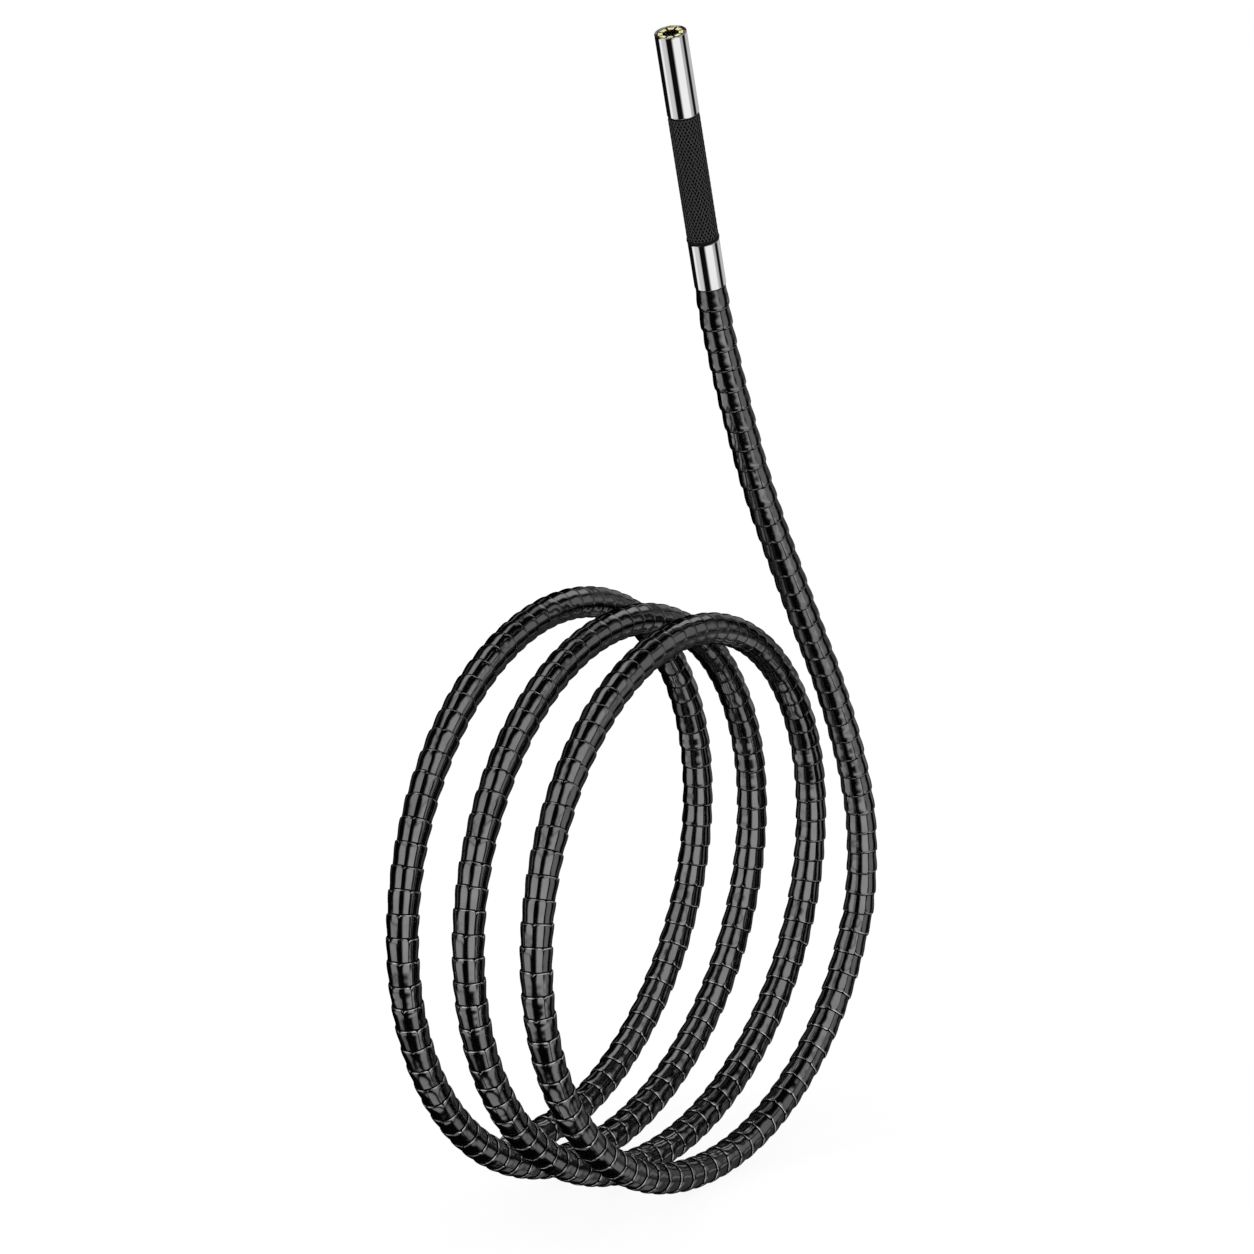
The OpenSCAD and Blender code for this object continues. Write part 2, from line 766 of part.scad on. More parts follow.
head_barrel();
bezel_ring();
front_window();
window_seal();
lamp_board();
lamp_chips();
lens_barrel();
lens_front();
aperture_stop();
lens_spacer();
lens_rear();
lens_retainer();
infrared_filter();
sensor_holder();
image_sensor();
sensor_board();
driver_board();
barrel_bulkhead();
front_link();
bending_link(1);  // link_1
bending_link(2);  // link_2
bending_link(3);  // link_3
bending_link(4);  // link_4
bending_link(5);  // link_5
bending_link(6);  // link_6
rear_link();
hinge_pins(1);  // hinge_pins_1
hinge_pins(2);  // hinge_pins_2
hinge_pins(3);  // hinge_pins_3
hinge_pins(4);  // hinge_pins_4
hinge_pins(5);  // hinge_pins_5
hinge_pins(6);  // hinge_pins_6
hinge_pins(7);  // hinge_pins_7
pull_wire_left();
pull_wire_right();
camera_harness();
rubber_boot();
braided_sleeve();
sleeve_bead();
rear_ferrule();
ferrule_spigot();
gooseneck_riser();
gooseneck_coil();
core_riser();
core_coil();
connector_backshell();
plug_shell();
coupling_nut();
plug_insert();
contact_pins();
plug_seal();
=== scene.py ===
"""Looks of the inspection camera probe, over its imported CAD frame.

Lengths are in millimetres until a mesh is made, and in metres from there on.
"""
import json
import math

import bmesh
import bpy
import numpy as np
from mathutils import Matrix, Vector


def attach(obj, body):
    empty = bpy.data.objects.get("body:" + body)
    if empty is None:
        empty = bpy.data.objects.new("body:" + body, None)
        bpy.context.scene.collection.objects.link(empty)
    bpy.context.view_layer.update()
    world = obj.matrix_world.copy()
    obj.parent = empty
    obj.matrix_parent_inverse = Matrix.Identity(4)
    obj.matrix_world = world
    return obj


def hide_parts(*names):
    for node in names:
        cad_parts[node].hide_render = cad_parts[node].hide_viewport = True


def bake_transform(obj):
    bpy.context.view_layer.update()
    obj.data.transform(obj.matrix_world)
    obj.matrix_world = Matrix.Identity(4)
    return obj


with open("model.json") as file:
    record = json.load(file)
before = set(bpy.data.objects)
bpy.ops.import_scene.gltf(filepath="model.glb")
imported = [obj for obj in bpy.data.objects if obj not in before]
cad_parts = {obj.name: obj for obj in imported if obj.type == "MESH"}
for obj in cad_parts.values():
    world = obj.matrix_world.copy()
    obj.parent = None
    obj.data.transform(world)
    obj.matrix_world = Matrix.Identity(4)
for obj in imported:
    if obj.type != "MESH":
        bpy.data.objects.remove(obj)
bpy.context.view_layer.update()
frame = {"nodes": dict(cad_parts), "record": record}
NODES = frame["nodes"]
MM = 0.001
random = np.random.default_rng(11)


# ---- Camera ----

CAMERA_TARGET = Vector((0.0, 0.001, 0.1415))
CAMERA_DISTANCE = 1.272
CAMERA_LENS = 147.5
SENSOR_WIDTH = 36
CAMERA_ELEVATION = math.radians(12.77)
FACING = (0.514, -0.858)
to_camera = Vector((
    FACING[0] * math.cos(CAMERA_ELEVATION),
    FACING[1] * math.cos(CAMERA_ELEVATION),
    math.sin(CAMERA_ELEVATION),
))
camera = bpy.data.objects.new("photo_camera", bpy.data.cameras.new("photo_camera"))
camera.data.lens = CAMERA_LENS
camera.data.sensor_width = SENSOR_WIDTH
camera.data.clip_end = 20
camera.location = CAMERA_TARGET + to_camera * CAMERA_DISTANCE
camera.rotation_euler = (-to_camera).to_track_quat("-Z", "Y").to_euler()
bpy.context.scene.collection.objects.link(camera)
bpy.context.scene.camera = camera
bpy.context.scene.view_settings.view_transform = "Standard"


# ---- Places, as in the part's source ----

HEAD_BASE = np.array([20.0, 7.0, 228.0])
HEAD_LEAN = math.radians(19.3)
HEAD_TURN = math.radians(4.2)
HEAD_X = np.array([math.cos(HEAD_TURN), math.sin(HEAD_TURN), 0.0])
HEAD_Z = np.array([
    math.sin(HEAD_LEAN) * math.sin(HEAD_TURN),
    -math.sin(HEAD_LEAN) * math.cos(HEAD_TURN),
    math.cos(HEAD_LEAN),
])
HEAD_Y = np.cross(HEAD_Z, HEAD_X)
FERRULE_LENGTH = 12.2
BARREL_START = 46.0
FACE = 67.2
HINGE_FIRST = 16.0
HINGE_PITCH = 26.2 / 6
HINGES = 7
TURN_MID_X, TURN_MID_Y = -0.6, 1
TURN_HALF_WIDTH = 76.1
TURN_HALF_HEIGHT = 69.3
TURN_PITCH = 16.3
TURN_LEAN = 2.95
TURN_SPREAD = 0.0138
TURN_START, TURN_MIDDLE, TURN_END = -22.5, -585, -1162.5
END_LIFT, LIFT_ANGLE = 1.4, 25
FOOT_HEIGHT = 3.2
END_STRAIGHT = 8.0
# Points that the free stretch passes through, from the head down to the turns
ROUTE = [
    (20, 12.4, 212.5), (20.4, 16.5, 201.5), (20.9, 21, 190.5), (21.4, 26, 179), (22, 31.5, 168),
    (22.5, 38.4, 156), (23.1, 45.4, 144), (23.6, 52.6, 132), (24.2, 59.8, 120), (24.7, 66.1, 108),
    (25.2, 71.3, 96), (25.5, 74.4, 87), (25.7, 76.3, 79), (25.8, 77, 70), (25.7, 76.9, 61),
]
ROUTE_STEPS = 12
LINE_STEP = 0.5
# The rings stand out past the plain tube, so their line is lifted at the foot of the turns
RING_LIFT = 0.8
# Degrees before the end of the turns over which that lift fades out
LIFT_FADE = 60


def unit(v):
    """The same vectors at a length of 1."""
    return v / np.linalg.norm(v, axis=-1, keepdims=True)


def turn_point(a):
    """Middle line of the turns at angles a, in degrees."""
    a = np.asarray(a, float)
    share = (a - TURN_MIDDLE) / 360
    size = 1 - TURN_SPREAD * share**3
    lift = END_LIFT * np.maximum(0, (TURN_END + LIFT_ANGLE - a) / LIFT_ANGLE) ** 2
    turn = np.radians(a)
    return np.stack([
        TURN_MID_X + TURN_PITCH * share,
        TURN_MID_Y + TURN_LEAN * share + TURN_HALF_WIDTH * size * np.cos(turn),
        FOOT_HEIGHT + TURN_HALF_HEIGHT * size * (1 + np.sin(turn)) + lift,
    ], axis=-1)


def turn_direction(a):
    """The way the turns run at angle a, towards the connector."""
    return unit(turn_point(a - 0.5) - turn_point(a + 0.5))


COIL_TOP = turn_point(TURN_START) - END_STRAIGHT * turn_direction(TURN_START)
COIL_END_DIRECTION = turn_direction(TURN_END)
COIL_BOTTOM = turn_point(TURN_END) + END_STRAIGHT * COIL_END_DIRECTION


def curve_point(p, q, u, v, t):
    """The point at share t of a cubic from p to q that leaves along u and arrives along v."""
    return ((2 * t**3 - 3 * t**2 + 1) * p + (t**3 - 2 * t**2 + t) * u
            + (3 * t**2 - 2 * t**3) * q + (t**3 - t**2) * v)


def riser_line(steps):
    """The free stretch from the head down to the turns."""
    knots = np.array([HEAD_BASE, HEAD_BASE - END_STRAIGHT * HEAD_Z, *ROUTE, COIL_TOP], float)
    slopes = np.zeros_like(knots)
    slopes[1:-1] = (knots[2:] - knots[:-2]) / 2
    slopes[1] = -HEAD_Z * np.linalg.norm(knots[2] - knots[1])
    slopes[-1] = turn_direction(TURN_START) * np.linalg.norm(knots[-1] - knots[-2])
    points = [knots[0]]
    for p, q, u, v in zip(knots[1:-1], knots[2:], slopes[1:-1], slopes[2:]):
        points += [curve_point(p, q, u, v, t) for t in np.arange(steps) / steps]
    return np.array(points + [knots[-1]])


def even_line(points, step):
    """The same line, with points a step apart, and the distance of each."""
    runs = np.linalg.norm(np.diff(points, axis=0), axis=1)
    along = np.concatenate([[0], np.cumsum(runs)])
    places = np.linspace(0, along[-1], int(round(along[-1] / step)) + 1)
    return places, np.stack([np.interp(places, along, points[:, k]) for k in range(3)], axis=1)


def gooseneck_route():
    """Middle line of the gooseneck, lifted so that its rings rest on the floor."""
    angles = np.arange(TURN_START, TURN_END - 0.1, -0.5)
    line = np.concatenate([riser_line(ROUTE_STEPS), turn_point(angles), [COIL_BOTTOM]])
    height = 2 * TURN_HALF_HEIGHT
    lowness = np.clip((FOOT_HEIGHT + height - line[:, 2]) / height, 0, 1)
    lowness[-1 - len(angles):] *= np.append(np.clip((angles - TURN_END) / LIFT_FADE, 0, 1), 0)
    line[:, 2] += RING_LIFT * lowness
    return line


LINE_PLACES, LINE = even_line(gooseneck_route(), LINE_STEP)
LINE_LENGTH = LINE_PLACES[-1]
line_ahead = unit(np.gradient(LINE, axis=0))
line_side = unit(np.array([1.0, 0, 0]) - line_ahead[:, :1] * line_ahead)
line_out = np.cross(line_ahead, line_side)


def on_line(s, columns):
    """The rows of columns that belong at distances s along the gooseneck."""
    return np.stack([np.interp(s, LINE_PLACES, columns[:, k]) for k in range(3)], axis=-1)


def around_line(s, angle, radius):
    """Points round the gooseneck's middle line: s along it, angle in degrees."""
    turn = np.radians(angle)[..., None]
    offset = np.cos(turn) * on_line(s, line_side) + np.sin(turn) * on_line(s, line_out)
    return on_line(s, LINE) + radius[..., None] * offset


def placed(base, x, y, z):
    """A function that takes points from a local frame to the part's frame."""
    axes = np.array([x, y, z])
    return lambda points: np.asarray(base) + np.asarray(points, float) @ axes


on_head = placed(HEAD_BASE, HEAD_X, HEAD_Y, HEAD_Z)
plug_x = unit(np.cross([0, 0, 1.0], COIL_END_DIRECTION))
on_connector = placed(COIL_BOTTOM, plug_x, np.cross(COIL_END_DIRECTION, plug_x), COIL_END_DIRECTION)


# ---- Materials ----

# Between these values of the noise, colour and roughness go from one end to the other
NOISE_LOW, NOISE_HIGH = 0.3, 0.7
RELIEF_HEIGHT = 0.00005


def noise_in(tree, place, scale, detail):
    """The value of a noise texture over the object's own coordinates."""
    noise = tree.nodes.new("ShaderNodeTexNoise")
    noise.inputs["Scale"].default_value = scale
    noise.inputs["Detail"].default_value = detail
    tree.links.new(place, noise.inputs["Vector"])
    return noise.outputs["Fac"]


def vary_colour(tree, noise, base, spread, target):
    """The base colour, darker and lighter by a share that follows the noise."""
    colours = tree.nodes.new("ShaderNodeValToRGB")
    dark, light = colours.color_ramp.elements
    dark.position, light.position = NOISE_LOW, NOISE_HIGH
    dark.color = (*[c * (1 - spread) for c in base], 1)
    light.color = (*[min(1, c * (1 + spread)) for c in base], 1)
    tree.links.new(noise, colours.inputs["Fac"])
    tree.links.new(colours.outputs["Color"], target)


def vary_roughness(tree, noise, rough, spread, target):
    """The roughness, lower and higher by an amount that follows the noise."""
    roughs = tree.nodes.new("ShaderNodeMapRange")
    roughs.inputs["From Min"].default_value = NOISE_LOW
    roughs.inputs["From Max"].default_value = NOISE_HIGH
    roughs.inputs["To Min"].default_value = max(0, rough - spread)
    roughs.inputs["To Max"].default_value = rough + spread
    tree.links.new(noise, roughs.inputs["Value"])
    tree.links.new(roughs.outputs["Result"], target)


def add_relief(tree, grain, strength, target):
    """A fine relief that follows the grain."""
    relief = tree.nodes.new("ShaderNodeBump")
    relief.inputs["Strength"].default_value = strength
    relief.inputs["Distance"].default_value = RELIEF_HEIGHT
    tree.links.new(grain, relief.inputs["Height"])
    tree.links.new(relief.outputs["Normal"], target)


def shader(name, base, rough, metal=0.0, spread=0.12, scale=900.0, rough_spread=0.05,
           bump=0.0, bump_scale=4000.0, **sockets):
    """A surface whose colour and roughness vary with noise, with an optional fine relief."""
    made = bpy.data.materials.new(name)
    made.use_nodes = True
    tree = made.node_tree
    body = tree.nodes["Principled BSDF"].inputs
    body["Metallic"].default_value = metal
    for key, value in sockets.items():
        body[key.replace("_", " ")].default_value = value
    place = tree.nodes.new("ShaderNodeTexCoord").outputs["Object"]
    noise = noise_in(tree, place, scale, 3)
    vary_colour(tree, noise, base, spread, body["Base Color"])
    vary_roughness(tree, noise, rough, rough_spread, body["Roughness"])
    if bump:
        add_relief(tree, noise_in(tree, place, bump_scale, 2), bump, body["Normal"])
    return made


CHROME = shader("chrome", (0.93, 0.93, 0.935), 0.035, 1.0, 0.01, 300, 0.015)
GOLD = shader("gold", (0.9, 0.72, 0.34), 0.16, 1.0, 0.06, 900, 0.04)
WINDOW = shader("window_glass", (0.98, 0.99, 0.99), 0.01, 0, 0.01, 300, 0.005,
                Transmission_Weight=1.0, IOR=1.5, Specular_IOR_Level=0.1)
LENS = shader("lens_glass", (0.5, 0.5, 0.95), 0.02, 0, 0.05, 600, 0.01,
              Transmission_Weight=1.0, IOR=1.6, Specular_IOR_Level=0.12,
              Specular_Tint=(0.5, 0.42, 1.0, 1))
BLACK_RUBBER = shader("black_rubber", (0.004, 0.004, 0.0045), 0.8, bump=0.3,
                      Specular_IOR_Level=0.15)
RED_RUBBER = shader("red_rubber", (0.42, 0.03, 0.025), 0.5, bump=0.3)
BLACK_BOARD = shader("black_board", (0.02, 0.016, 0.007), 0.5, spread=0.3)
GREEN_BOARD = shader("green_board", (0.02, 0.13, 0.05), 0.4, spread=0.2, bump=0.2)
# The lamps are off, yet the phosphor is given a faint emission: a painted glow that makes the pads
# look lit
PHOSPHOR_PAINTED_GLOW = shader("lamp_phosphor", (0.95, 0.9, 0.48), 0.45, spread=0.05, scale=1600, bump=0.25,
                  Emission_Color=(1, 0.92, 0.5, 1), Emission_Strength=0.56)
LAMP_BODY = shader("lamp_body", (0.04, 0.026, 0.008), 0.5, spread=0.2)
CERAMIC = shader("sensor_ceramic", (0.03, 0.04, 0.05), 0.3, spread=0.25)
BLACK_PLASTIC = shader("black_plastic", (0.012, 0.012, 0.013), 0.45, bump=0.3)
BLACK_METAL = shader("black_metal", (0.006, 0.006, 0.008), 0.3, 0, 0.2, 1500, 0.08, bump=0.2,
                     Specular_IOR_Level=0.25)
STEEL = shader("steel", (0.55, 0.56, 0.57), 0.3, 1.0, 0.08, 1200, 0.08, bump=0.15)
NICKEL = shader("nickel", (0.66, 0.64, 0.6), 0.24, 1.0, 0.06, 1200, 0.06, bump=0.1)
WIRE = shader("wire", (0.55, 0.56, 0.57), 0.35, 1.0, 0.2, 4000, 0.1, bump=0.6, bump_scale=9000)
HARNESS = shader("harness", (0.25, 0.02, 0.02), 0.5, bump=0.3)
# The yarn's colour lit up, for the outward crest of each yarn: a painted highlight
BRAID_LIT_CREST = shader("braid", (0.082, 0.082, 0.083), 0.35, 0, 0.3, 2500, 0.08,
               bump=0.3, bump_scale=14000, Specular_IOR_Level=0.4)
# The same yarn darkened to near black for its other sides: painted shade
BRAID_PAINTED_SHADE = shader("braid_painted_shade", (0.006, 0.006, 0.0063), 0.6, 0, 0.3, 2500, 0.08,
                     bump=0.3, bump_scale=14000, Specular_IOR_Level=0.2)
BEAD = shader("bead_thread", (0.004, 0.004, 0.004), 0.6, 0, 0.3, 2500, 0.1,
              bump=0.6, bump_scale=9000, Specular_IOR_Level=0.2)
GOOSENECK = shader("gooseneck_black", (0.25, 0.25, 0.255), 0.1, 1.0, 0.1, 260, 0.03,
                   bump=0.04, bump_scale=1500, Specular_Tint=(0.5, 0.5, 0.5, 1))
RIM = shader("gooseneck_rim", (0.85, 0.85, 0.84), 0.32, 1.0, 0.6, 450, 0.05)
# Matt near-black for the steps between rings and the seam grooves: painted shadow where the metal
# only lies in shade
GAP_SHADOW = shader("gooseneck_gap_painted_shadow", (0.002, 0.002, 0.002), 0.8, Specular_IOR_Level=0.1)
CORE = shader("core_jacket", (0.02, 0.02, 0.022), 0.55, bump=0.2)

SLOT_SHADERS = {
    "chrome": CHROME, "gold": GOLD, "window_glass": WINDOW, "lens_glass": LENS,
    "black_rubber": BLACK_RUBBER, "red_rubber": RED_RUBBER, "black_board": BLACK_BOARD,
    "green_board": GREEN_BOARD, "lamp_phosphor": PHOSPHOR_PAINTED_GLOW, "sensor_ceramic": CERAMIC,
    "black_plastic": BLACK_PLASTIC, "black_metal": BLACK_METAL, "steel": STEEL, "nickel": NICKEL,
    "wire": WIRE, "harness": HARNESS, "braid": BRAID_LIT_CREST, "gooseneck_black": GOOSENECK,
    "core_jacket": CORE,
}
for row in frame["record"]["subparts"]:
    carried = NODES[row["node"]].data.materials
    carried.clear()
    carried.append(SLOT_SHADERS[row["material_slot"]])


# ---- Meshes ----

def piece(name, slot, points, faces, place=None, shades=None, sharp=38, look=None):
    """A mesh object of the named slot, from points in millimetres and faces."""
    points = np.asarray(points, float).reshape(-1, 3)
    if place:
        points = place(points)
    mesh = bpy.data.meshes.new(name)
    mesh.from_pydata((points * MM).tolist(), [], faces)
    if shades is not None:
        mesh.polygons.foreach_set("material_index", shades)
    work = bmesh.new()
    work.from_mesh(mesh)
    bmesh.ops.recalc_face_normals(work, faces=work.faces)
    work.to_mesh(mesh)
    work.free()
    mesh.polygons.foreach_set("use_smooth", [True] * len(mesh.polygons))
    mesh.set_sharp_from_angle(angle=math.radians(sharp))
    mesh.materials.append(look or SLOT_SHADERS[slot])
    made = bpy.data.objects.new(name, mesh)
    bpy.context.scene.collection.objects.link(made)
    return made


def grid_faces(rows, columns, first=0, close_rows=False, cap_ends=False):
    """Quads over a grid whose columns close on themselves."""
    faces = []
    for i in range(rows if close_rows else rows - 1):
        a, b = first + i * columns, first + (i + 1) % rows * columns
        faces += [(a + j, b + j, b + (j + 1) % columns, a + (j + 1) % columns)
                  for j in range(columns)]
    if cap_ends:
        faces.append([first + j for j in range(columns)])
        faces.append([first + (rows - 1) * columns + j for j in range(columns)])
    return faces


def soften(outline, size, steps=3):
    """A closed outline of (radius, height) points with its corners rounded.

    Long sides get a point near each end, which keeps their shading straight.
    """
    rounded, outline = [], np.array(outline, float)
    long_side = 6 * size
    for i, p in enumerate(outline):
        before, after = outline[i - 1] - p, outline[(i + 1) % len(outline)] - p
        reach = min(size, 0.45 * np.linalg.norm(before), 0.45 * np.linalg.norm(after))
        a, b = p + unit(before) * reach, p + unit(after) * reach
        if np.linalg.norm(before) > long_side:
            rounded.append(p + unit(before) * 2 * reach)
        for t in np.linspace(0, 1, steps + 1):
            rounded.append((1 - t) ** 2 * a + 2 * t * (1 - t) * p + t * t * b)
        if np.linalg.norm(after) > long_side:
            rounded.append(p + unit(after) * 2 * reach)
    return np.array(rounded)


def turned(name, slot, outline, place, size=0.06, sides=128, wave=None, look=None):
    """A closed outline of (radius, height) turned round the local Z axis.

    wave(angle, radius, height) gives what is added to the radius.
    """
    outline = soften(outline, size)
    angle = np.linspace(0, 2 * math.pi, sides, endpoint=False)[None, :]
    radius, height = outline[:, :1] + 0 * angle, outline[:, 1:] + 0 * angle
    if wave:
        radius = radius + wave(angle, radius, height)
    points = np.stack([radius * np.cos(angle), radius * np.sin(angle), height], axis=-1)
    faces = grid_faces(len(outline), sides, close_rows=True)
    return piece(name, slot, points, faces, place, look=look)


def pad_mesh(near, far, spread, low, high, soft):
    """One pad with rounded edges, which widens away from the local Z axis."""
    work = bmesh.new()
    bmesh.ops.create_cube(work, size=2)
    for v in work.verts:
        x = near if v.co.x < 0 else far
        v.co = Vector((x, v.co.y * x * spread, low if v.co.z < 0 else high))
    bmesh.ops.bevel(work, geom=list(work.edges), offset=soft, segments=3, affect="EDGES",
                    profile=0.6)
    work.verts.index_update()
    points = [tuple(v.co) for v in work.verts]
    faces = [[v.index for v in f.verts] for f in work.faces]
    work.free()
    return points, faces


def lamp_pads(name, slot, turns, *sizes, look=None):
    """The same pad at several turns round the head's axis, as one piece."""
    pad_points, pad_faces = pad_mesh(*sizes)
    points, faces = [], []
    for turn in turns:
        c, s = math.cos(turn), math.sin(turn)
        faces += [[len(points) + i for i in face] for face in pad_faces]
        points += [(x * c - y * s, x * s + y * c, z) for x, y, z in pad_points]
    return piece(name, slot, points, faces, on_head, look=look)


# ---- Gooseneck, the cord of this object ----

NOMINAL_PITCH = 5.6
RINGS = int(round(LINE_LENGTH / NOMINAL_PITCH))
RING_PITCH = LINE_LENGTH / RINGS
# Plates round each ring, and how far their rims differ along the cable
PLATES = 5
PLATE_SHIFT = 0.22
# Half the angle of a plate, and the columns of points in it
SECTOR = 180 / PLATES
SEAM_EDGE = 1.5
SECTOR_COLUMNS = (0, SEAM_EDGE, 7, 18, 29, SECTOR - SEAM_EDGE)
COLUMN_ANGLES = np.array([k * SECTOR + c for k in range(2 * PLATES) for c in SECTOR_COLUMNS])
COLUMNS = len(COLUMN_ANGLES)
# The seams between plates are grooves, whose corners are rounded at the rim
SEAM_DEPTH = 0.13
SEAM_RECESS = 0.8
SEAM_CORNER = 13.0
# A ring comes out from under the last one's rim and widens; the strip between is painted black as a
# shadow line
RIM_GAP = 0.3
NECK_RADIUS = 3.64
# Share of the way from that line to the ring's own rim, and the radius there
RING_ROWS = ((0, 3.69), (0.22, 3.74), (0.42, 3.85), (0.6, 3.96), (0.78, 4.02), (0.92, 4.03),
             (0.965, 4.0), (1, 3.89))
# The gooseneck's shaders in the order of its material slots; the gap's is a painted shadow
PLATE_SHADE, GAP_SHADOW_SHADE, RIM_SHADE = 0, 1, 2

ring_recess = SEAM_RECESS * random.uniform(0.6, 1.15, RINGS)
plate_shift = random.uniform(-PLATE_SHIFT, PLATE_SHIFT, (RINGS, PLATES))
ring_turn = random.uniform(-1.5, 1.5, RINGS)
ring_swell = random.uniform(-0.025, 0.02, RINGS)


def ring_end(i, angle):
    """How far along ring i ends at these angles, without and with its rounded corners."""
    flat = np.full_like(angle, (i + 1) * RING_PITCH)
    if i < 0 or i == RINGS - 1:
        return flat, flat
    own = (angle - ring_turn[i] - (i % 2) * SECTOR) % 360
    flat = flat + plate_shift[i, (own // (2 * SECTOR)).astype(int)]
    away = np.abs((own + SECTOR) % (2 * SECTOR) - SECTOR)
    corner = 1 - np.sqrt(1 - np.clip(1 - away / SEAM_CORNER, 0, 1) ** 2)
    return flat, flat - ring_recess[i] * corner


def seam_columns(i):
    """Which columns of ring i lie in a seam. Every other ring is turned by half a plate."""
    plate_columns = 2 * len(SECTOR_COLUMNS)
    return np.arange(COLUMNS) % plate_columns == (i % 2) * len(SECTOR_COLUMNS)


def ring_points(i):
    """The rows of points of ring i, from under the last ring's rim to its own."""
    angle = COLUMN_ANGLES + ring_turn[i]
    (flat, start), (_, end) = ring_end(i - 1, angle), ring_end(i, angle)
    clear = flat + RIM_GAP
    rows = [around_line(start, angle, np.full(COLUMNS, NECK_RADIUS))]
    for share, radius in RING_ROWS:
        out = np.full(COLUMNS, radius + ring_swell[i] * share) - SEAM_DEPTH * seam_columns(i)
        rows.append(around_line(clear + share * (end - clear), angle, out))
    return rows


def ring_shades(i):
    """The shaders of the rows of faces of ring i: a painted shadow under the last rim, the plates,
    their rim and a painted shadow at the step. The seam grooves are painted as shadow too.
    """
    seam = seam_columns(i)
    groove = seam | np.roll(seam, -1)
    gap = np.full(COLUMNS, GAP_SHADOW_SHADE)
    plates = np.where(groove, GAP_SHADOW_SHADE, PLATE_SHADE)
    rim = np.where(groove, GAP_SHADOW_SHADE, RIM_SHADE)
    return [gap] + [plates] * (len(RING_ROWS) - 2) + [rim, gap]


def gooseneck():
    """The whole gooseneck as one skin of overlapping rings."""
    points = [row for i in range(RINGS) for row in ring_points(i)]
    rows = [row for i in range(RINGS) for row in ring_shades(i)][:-1]
    shades = np.concatenate(rows).tolist() + [GAP_SHADOW_SHADE, GAP_SHADOW_SHADE]
    faces = grid_faces(len(points), COLUMNS, cap_ends=True)
    made = piece("gooseneck_skin", "gooseneck_black", points, faces, shades=shades, sharp=33)
    made.data.materials.append(GAP_SHADOW)
    made.data.materials.append(RIM)
    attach(made, "gooseneck")
    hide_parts("gooseneck_riser", "gooseneck_coil")
    return made


gooseneck_skin = gooseneck()


# ---- Connector at the far end ----

# Flutes are cut where a turned piece is wider than this
FLUTED_BEYOND = 3.3


def fluted(count, depth, low, high):
    """A wave for turned(): flutes between two heights, on the outside alone."""
    def wave(angle, radius, height):
        inside = (height > low) & (height < high) & (radius > FLUTED_BEYOND)
        return -depth * inside * np.clip(np.cos(count * angle) * 1.6 - 0.6, 0, 1)
    return wave


BACKSHELL_OUTLINE = [
    (2.4, -3.9), (2.4, 0), (4, 0), (4, 0.5), (4, 0.9), (4, 1.3), (4, 2.7), (4, 3.1), (4, 3.4),
    (3.7, 3.5), (3.7, 3.9), (3.95, 4), (3.95, 4.6), (3.7, 4.98), (1.9, 4.98), (1.9, -3.9),
]
backshell_cap = turned(
    "backshell_cap", "black_metal", BACKSHELL_OUTLINE, on_connector, 0.08, 180,
    fluted(36, 0.14, 0.6, 3.0))
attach(backshell_cap, "gooseneck")
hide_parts("connector_backshell")

THREAD_PITCH = 0.75
THREAD_DEPTH = 0.4
THREAD_RADIUS = 3.5
NUT_OUTLINE = [
    (2.56, 5.17), (3.7, 5.17), (3.9, 5.4), (3.9, 5.62), (3.9, 6.2), (3.9, 9.2), (3.9, 9.78),
    (3.9, 9.95), (3.75, 10.13), (THREAD_RADIUS, 10.14),
    *[(THREAD_RADIUS, round(z, 3)) for z in np.arange(10.3, 14.0, THREAD_PITCH / 8)],
    (3.4, 14.13), (2.97, 14.13), (2.97, 7.15), (2.56, 7.15),
]


def thread(angle, radius, height):
    """A helical groove on the outside of the front of the nut, and flutes on its grip."""
    turns = height / THREAD_PITCH - angle / (2 * math.pi)
    groove = THREAD_DEPTH * np.abs(2 * (turns % 1) - 1)
    on_thread = (height > 10.5) & (height < 13.95) & (radius > 3.2)
    return -groove * on_thread + fluted(18, 0.35, 5.6, 9.8)(angle, radius, height)


nut_skin = turned("nut_skin", "nickel", NUT_OUTLINE, on_connector, 0.05, 180, thread)
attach(nut_skin, "connector_nut")
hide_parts("coupling_nut")


# ---- Chrome barrel, ferrule and face ----

HEAD_RADIUS = 3.9
SPIGOT_END = 6.1
WINDOW_BACK = 66.85
WINDOW_RADIUS = 3.26
WINDOW_SOFT = 0.04
LAMPS = 8
LAMP_TURNS = [(i + 0.5) * 2 * math.pi / LAMPS for i in range(LAMPS)]
# Radii of a lamp's ends, its half angle, and the heights of its foot, seam and top
LAMP_NEAR, LAMP_FAR = 1.93, 3.07
LAMP_SPREAD = math.tan(math.radians(17.1))
LAMP_LOW, LAMP_SEAM, LAMP_HIGH = 66.46, 66.7, 66.8
PHOSPHOR_INSET = 0.03
PHOSPHOR_SPREAD = math.tan(math.radians(16.0))

barrel_skin = turned(
    "barrel_skin", "chrome",
    [(3.5, BARREL_START), (HEAD_RADIUS, BARREL_START), (HEAD_RADIUS, FACE), (3.5, FACE)],
    on_head, 0.16, 192)
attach(barrel_skin, "camera_head")
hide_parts("head_barrel")

ferrule_skin = turned(
    "ferrule_skin", "chrome",
    [(2.68, 0.02), (HEAD_RADIUS, 0.02), (HEAD_RADIUS, FERRULE_LENGTH), (3.27, FERRULE_LENGTH),
     (3.27, SPIGOT_END), (2.68, SPIGOT_END)],
    on_head, 0.1, 192)
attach(ferrule_skin, "gooseneck")
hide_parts("rear_ferrule")

